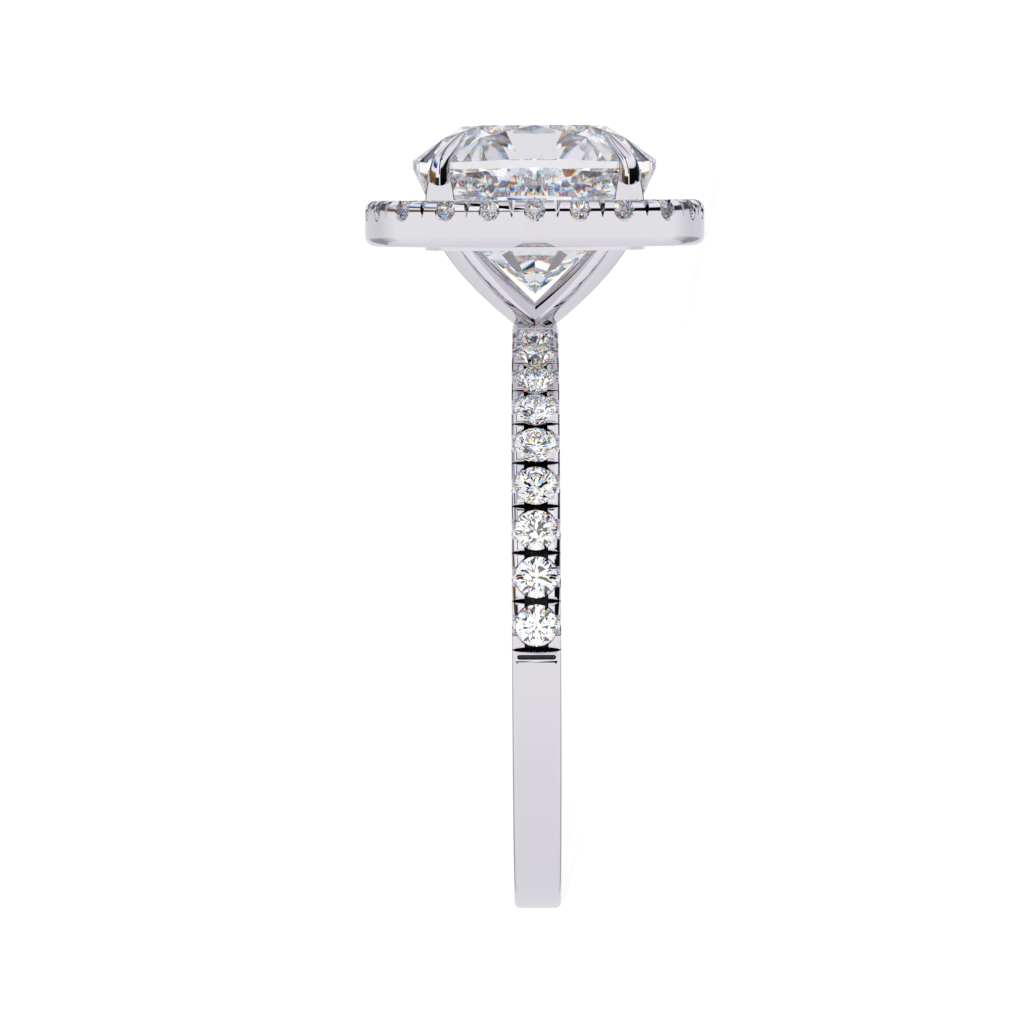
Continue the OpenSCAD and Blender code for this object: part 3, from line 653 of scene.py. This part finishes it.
bar = shell(bar_rings(np.vstack([outer_foot, cubic(outer_guide)]), np.vstack([inner_foot, cubic(inner_guide)]),
                      bar_half, bar_edge))
basket = solid("basket", copies(bar, [(0, 0, 0)], corner_axes[:1]))
for axes in corner_axes[1:]:
    basket = worked(basket, solid("bar", copies(bar, [(0, 0, 0)], axes[None])), "UNION")
basket = worked(basket, solid("room", cushion_stone(stone_room)))

# A stem's heights, its half widths along the finger and across it, and how much its corners rise
# over its sides' middles: its sides lean in, its front and back stand upright, and each ends in a U
stem_sections = np.array([
    (12.9, 0.52, 0.43, 0), (14.3, 0.505, 0.43, 0), (14.45, 0.49, 0.43, 0), (14.6, 0.472, 0.43, 0),
    (14.75, 0.452, 0.43, 0), (14.875, 0.407, 0.43, 0.17), (14.885, 0.405, 0.43, 0.17),
    (14.893, 0.395, 0.418, 0.17), (14.88, 0.33, 0.35, 0.1), (14.88, 0.2, 0.2, 0), (14.88, 0.1, 0.1, 0)])
# Round the stem goes a square with rounded corners: a side and a corner, turned by quarters
square_edge = 0.07
side_line = np.linspace(square_edge - 1, 1 - square_edge, 9)[1:-1, None]
side_and_corner = np.concatenate([
    np.hstack([1 + 0 * side_line, side_line]), arc((1 - square_edge, 1 - square_edge), square_edge, 0, 90, 4)])
quarters = np.array([[(1, 0), (0, 1)], [(0, -1), (1, 0)], [(-1, 0), (0, -1)], [(0, 1), (-1, 0)]])
square = np.concatenate([side_and_corner @ quarter.T for quarter in quarters])
to_corner = (np.abs(square).min(1) / np.abs(square).max(1)) ** 2
stem_height, stem_along, stem_across, corner_rise = (stem_sections[:, k:k + 1] for k in range(4))
stem = shell(np.dstack([
    stem_along * square[:, 0], stem_across * square[:, 1], stem_height + corner_rise * to_corner]))
posts = solid("posts", copies(stem, claw_away * corner_axes[:, 0], [np.eye(3)] * 4))

# A claw's heights, its distances from the head's axis, and its radii outwards and in to the stone
claw_sections = smooth_line(np.array([
    (14.5, claw_away, 0.41, 0.41), (14.75, claw_away, 0.414, 0.414), (14.9, claw_away, 0.414, 0.414),
    (15.04, claw_away, 0.408, 0.41), (15.24, 4.511, 0.396, 0.4), (15.49, 4.49, 0.366, 0.38),
    (15.76, 4.4, 0.338, 0.36), (15.97, 4.235, 0.32, 0.34), (16.25, 3.95, 0.272, 0.28),
    (16.52, 3.66, 0.172, 0.2), (16.66, 3.48, 0.1, 0.12), (16.76, 3.34, 0.02, 0.03)]), 4)
round_claw = np.linspace(0, 2 * np.pi, 48, endpoint=False)
claw_height, away, outer_radius, inner_radius = (claw_sections[:, k:k + 1] for k in range(4))
claw = shell(np.stack([
    away + np.where(np.cos(round_claw) > 0, outer_radius, inner_radius) * np.cos(round_claw),
    outer_radius * np.sin(round_claw), claw_height + 0 * round_claw], -1))
posts = worked(posts, solid("claws", copies(claw, np.zeros((4, 3)), corner_axes), burnished), "UNION")
# The posts make room for the halo's corner stones, by a round skin of these radii and heights, and
# the claws bite into the centre stone
stone_skin = turned_skin([(0.02, -0.9), (0.64, -0.5), (0.65, -0.24), (0.38, 0.03), (0.02, 0.03)])
corner_stones = [part[halo_count // 8::halo_count // 4] for part in halo_stone_places]
posts = worked(posts, solid("room", copies(stone_skin, *corner_stones)))
posts = worked(posts, solid("bite", cushion_stone(-claw_bite)))
basket = worked(basket, posts, "UNION")
finished(basket, "white_gold", "shank_and_setting")
